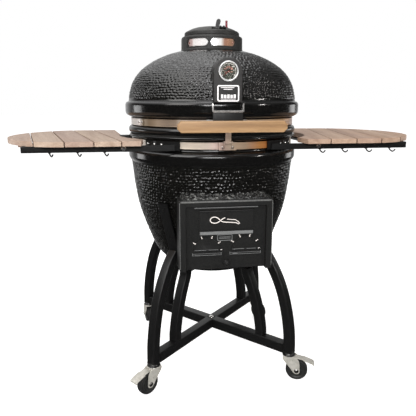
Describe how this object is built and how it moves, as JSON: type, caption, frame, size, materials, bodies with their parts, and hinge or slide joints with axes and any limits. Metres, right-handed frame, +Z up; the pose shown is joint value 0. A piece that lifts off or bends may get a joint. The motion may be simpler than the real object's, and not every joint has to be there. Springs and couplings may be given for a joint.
{
  "type": "kamado grill",
  "caption": "Egg-shaped ceramic charcoal cooker with a hinged lid, top vent, draft drawer, folding side shelves and a wheeled stand.",
  "frame": {"origin": "centre of the overall footprint, on the floor under the wheels", "axes": "+X to the right seen from the front, along both shelves; +Y from the front to the lid hinge at the back; +Z up. The pot's own axis stands 22.5 mm behind the origin."},
  "size_m": [1.381, 0.731, 1.2115],
  "materials": {
    "glazed_ceramic": "gloss black glaze over a finely dimpled surface, with a smooth rolled flange",
    "gasket_felt": "dense woven fibre strip",
    "firebrick": "dry buff fired clay",
    "grate_iron": "raw cast iron",
    "grate_steel": "bright round bar",
    "band_steel": "stainless strip brushed along its length",
    "hinge_steel": "satin black powder coat",
    "pin_steel": "drawn spring wire and turned pin",
    "handle_wood": "golden brown laminated bar, satin oil",
    "bright_steel": "formed stainless sheet, fine brush",
    "shroud_paint": "dark grey satin powder coat",
    "chrome_trim": "polished",
    "dial_face": "matt printed dial",
    "needle_red": "satin red",
    "dial_glass": "clear flat glass",
    "vent_cast": "fine textured black powder coat over cast metal",
    "vent_liner": "polished stainless strip",
    "pin_red": "dark red moulded pin",
    "door_paint": "satin black powder coat over folded sheet",
    "knob_plastic": "moulded black",
    "stand_powder": "satin black powder coat with a fine orange-peel",
    "caster_zinc": "zinc plated pressed steel",
    "wheel_rubber": "black tread on a grey moulded core",
    "shelf_wood": "pale pinkish tan boards, matt oil"
  },
  "bodies": {
    "base": {"base_shell": "glazed_ceramic", "base_gasket": "gasket_felt", "fire_bowl": "firebrick", "fire_ring": "firebrick", "charcoal_grate": "grate_iron", "cooking_grate": "grate_steel", "lower_band": "band_steel", "hinge_lower_bracket": "hinge_steel", "hinge_pin": "pin_steel", "hinge_spring_right": "pin_steel", "hinge_spring_left": "pin_steel", "latch_keeper": "bright_steel", "draft_frame": "door_paint", "leg_frame_front_right": "stand_powder", "leg_frame_front_left": "stand_powder", "leg_frame_rear_right": "stand_powder", "leg_frame_rear_left": "stand_powder", "cross_base": "stand_powder", "cradle_ring": "stand_powder", "shelf_bracket_front_right": "stand_powder", "shelf_bracket_front_left": "stand_powder", "shelf_bracket_rear_right": "stand_powder", "shelf_bracket_rear_left": "stand_powder"},
    "lid": {"dome_shell": "glazed_ceramic", "dome_gasket": "gasket_felt", "upper_band": "band_steel", "hinge_upper_bracket": "hinge_steel", "handle_bar": "handle_wood", "handle_bracket": "bright_steel", "thermometer_shroud": "shroud_paint", "thermometer_case": "chrome_trim", "thermometer_dial": "dial_face", "thermometer_lens": "dial_glass", "badge_plate": "bright_steel", "chimney_collar": "vent_cast"},
    "vent_top": {"vent_damper_ring": "vent_liner", "vent_cap": "vent_cast", "vent_lever": "vent_cast", "vent_pin": "pin_red"},
    "needle": {"thermometer_needle": "needle_red"},
    "latch": {"latch_strap": "bright_steel"},
    "drawer": {"ash_drawer": "door_paint", "drawer_knob": "knob_plastic"},
    "flap": {"starter_flap": "door_paint"},
    "damper_l": {"damper_left": "door_paint"},
    "damper_r": {"damper_right": "door_paint"},
    "shelf_r": {"shelf_slats_right": "shelf_wood", "shelf_frame_right": "stand_powder"},
    "shelf_l": {"shelf_slats_left": "shelf_wood", "shelf_frame_left": "stand_powder"},
    "caster_front_left": {"caster_fork_front_left": "caster_zinc"},
    "wheel_front_left": {"caster_wheel_front_left": "wheel_rubber"},
    "pedal_front_left": {"brake_pedal_front_left": "caster_zinc"},
    "caster_front_right": {"caster_fork_front_right": "caster_zinc"},
    "wheel_front_right": {"caster_wheel_front_right": "wheel_rubber"},
    "pedal_front_right": {"brake_pedal_front_right": "caster_zinc"},
    "caster_rear_left": {"caster_fork_rear_left": "caster_zinc"},
    "wheel_rear_left": {"caster_wheel_rear_left": "wheel_rubber"},
    "caster_rear_right": {"caster_fork_rear_right": "caster_zinc"},
    "wheel_rear_right": {"caster_wheel_rear_right": "wheel_rubber"}
  },
  "joints": [
    {"name": "lid_hinge", "type": "hinge", "parent": "base", "child": "lid", "pos_m": [0, 0.3525, 0.848], "axis": [-1, 0, 0], "range_deg": [0, 75]},
    {"name": "vent_turn", "type": "hinge", "parent": "lid", "child": "vent_top", "pos_m": [0, 0.0225, 1.15], "axis": [0, 0, 1], "continuous": true},
    {"name": "needle_turn", "type": "hinge", "parent": "lid", "child": "needle", "pos_m": [0, -0.285, 1.031], "axis": [0, 1, 0], "range_deg": [0, 260]},
    {"name": "latch_swing", "type": "hinge", "parent": "base", "child": "latch", "pos_m": [0, -0.2715, 0.826], "axis": [1, 0, 0], "range_deg": [0, 95]},
    {"name": "drawer_slide", "type": "slide", "parent": "base", "child": "drawer", "axis": [0, -1, 0], "range_m": [0, 0.25]},
    {"name": "flap_hinge", "type": "hinge", "parent": "drawer", "child": "flap", "pos_m": [0, -0.2719, 0.619], "axis": [-1, 0, 0], "range_deg": [0, 80]},
    {"name": "damper_left_turn", "type": "hinge", "parent": "drawer", "child": "damper_l", "pos_m": [-0.06, -0.2695, 0.493], "axis": [0, -1, 0], "range_deg": [0, 180]},
    {"name": "damper_right_turn", "type": "hinge", "parent": "drawer", "child": "damper_r", "pos_m": [0.06, -0.2695, 0.493], "axis": [0, -1, 0], "range_deg": [0, 180]},
    {"name": "shelf_right_fold", "type": "hinge", "parent": "base", "child": "shelf_r", "pos_m": [0.305, 0.0225, 0.808], "axis": [0, 1, 0], "range_deg": [0, 90]},
    {"name": "shelf_left_fold", "type": "hinge", "parent": "base", "child": "shelf_l", "pos_m": [-0.305, 0.0225, 0.808], "axis": [0, -1, 0], "range_deg": [0, 90]},
    {"name": "swivel_front_left", "type": "hinge", "parent": "base", "child": "caster_front_left", "pos_m": [-0.23343, -0.22608, 0.094], "axis": [0, 0, 1], "continuous": true},
    {"name": "roll_front_left", "type": "hinge", "parent": "caster_front_left", "child": "wheel_front_left", "pos_m": [-0.25549, -0.24332, 0.0375], "axis": [0.6157, -0.788, 0], "continuous": true},
    {"name": "brake_front_left", "type": "hinge", "parent": "caster_front_left", "child": "pedal_front_left", "pos_m": [-0.24525, -0.23531, 0.08], "axis": [0.6157, -0.788, 0], "range_deg": [0, 10]},
    {"name": "swivel_front_right", "type": "hinge", "parent": "base", "child": "caster_front_right", "pos_m": [0.23343, -0.22608, 0.094], "axis": [0, 0, 1], "continuous": true},
    {"name": "roll_front_right", "type": "hinge", "parent": "caster_front_right", "child": "wheel_front_right", "pos_m": [0.25974, -0.23565, 0.0375], "axis": [0.342, 0.9397, 0], "continuous": true},
    {"name": "brake_front_right", "type": "hinge", "parent": "caster_front_right", "child": "pedal_front_right", "pos_m": [0.24753, -0.23121, 0.08], "axis": [0.342, 0.9397, 0], "range_deg": [0, 10]},
    {"name": "swivel_rear_left", "type": "hinge", "parent": "base", "child": "caster_rear_left", "pos_m": [-0.23343, 0.27108, 0.094], "axis": [0, 0, 1], "continuous": true},
    {"name": "roll_rear_left", "type": "hinge", "parent": "caster_rear_left", "child": "wheel_rear_left", "pos_m": [-0.23829, 0.29865, 0.0375], "axis": [-0.9848, -0.1736, 0], "continuous": true},
    {"name": "swivel_rear_right", "type": "hinge", "parent": "base", "child": "caster_rear_right", "pos_m": [0.23343, 0.27108, 0.094], "axis": [0, 0, 1], "continuous": true},
    {"name": "roll_rear_right", "type": "hinge", "parent": "caster_rear_right", "child": "wheel_rear_right", "pos_m": [0.24743, 0.24683, 0.0375], "axis": [0.866, 0.5, 0], "continuous": true}
  ]
}
